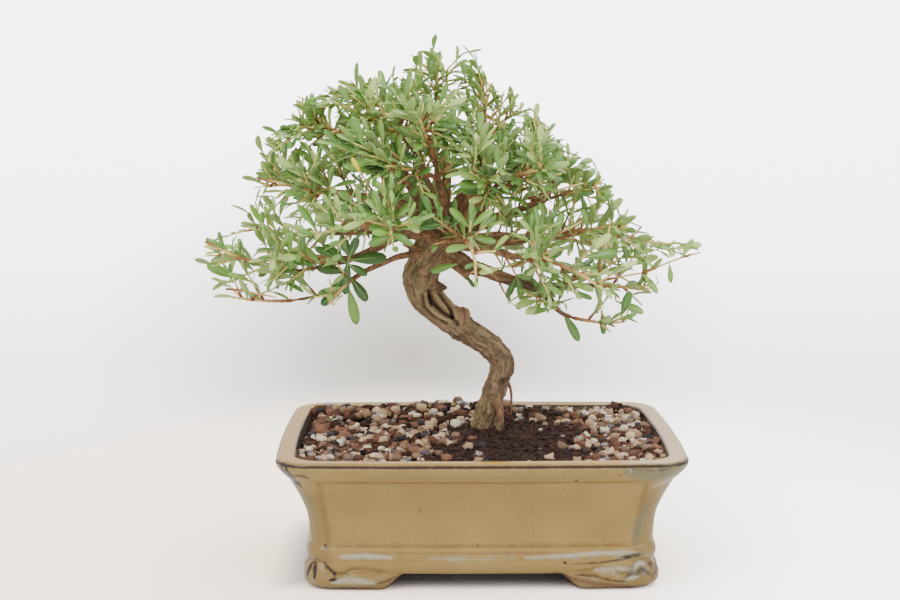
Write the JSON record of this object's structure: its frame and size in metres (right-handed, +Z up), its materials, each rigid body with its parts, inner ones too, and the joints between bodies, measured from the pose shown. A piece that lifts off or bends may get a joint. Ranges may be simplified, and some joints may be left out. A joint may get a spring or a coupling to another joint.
{
  "type": "coprosma bonsai in a pot",
  "caption": "Coprosma bonsai with a bent bare trunk and a rounded crown of small glossy leaves, growing in grit in a rectangular glazed pot on scroll feet.",
  "frame": {"origin": "on the ground under the middle of the whole object's box", "axes": "+Z up, -Y towards the front as pictured, +X to the right seen from the front, along the pot's long side"},
  "size_m": [0.2746, 0.198, 0.2796],
  "materials": {
    "glaze": "gloss",
    "netting": "matte",
    "grit": "matte",
    "peat": "matte",
    "bark": "matte",
    "foliage": "satin"
  },
  "bodies": {
    "root": {"pot": "glaze", "screen_left": "netting", "screen_right": "netting", "grit": "grit", "root_ball": "peat", "trunk": "bark", "spray_01": "foliage", "spray_02": "foliage", "spray_03": "foliage", "spray_04": "foliage", "spray_05": "foliage", "spray_06": "foliage", "spray_07": "foliage", "spray_08": "foliage", "spray_09": "foliage", "spray_10": "foliage", "spray_11": "foliage", "spray_12": "foliage", "spray_13": "foliage", "spray_14": "foliage", "spray_15": "foliage", "spray_16": "foliage", "spray_17": "foliage", "spray_18": "foliage", "spray_19": "foliage", "spray_20": "foliage", "spray_21": "foliage", "spray_22": "foliage", "spray_23": "foliage", "spray_24": "foliage", "spray_25": "foliage", "spray_26": "foliage", "spray_27": "foliage", "spray_28": "foliage", "spray_29": "foliage", "spray_30": "foliage", "spray_31": "foliage", "spray_32": "foliage", "spray_33": "foliage", "spray_34": "foliage", "spray_35": "foliage", "spray_36": "foliage", "spray_37": "foliage", "spray_38": "foliage", "spray_39": "foliage", "spray_40": "foliage", "spray_41": "foliage", "spray_42": "foliage", "spray_43": "foliage"}
  },
  "joints": []
}
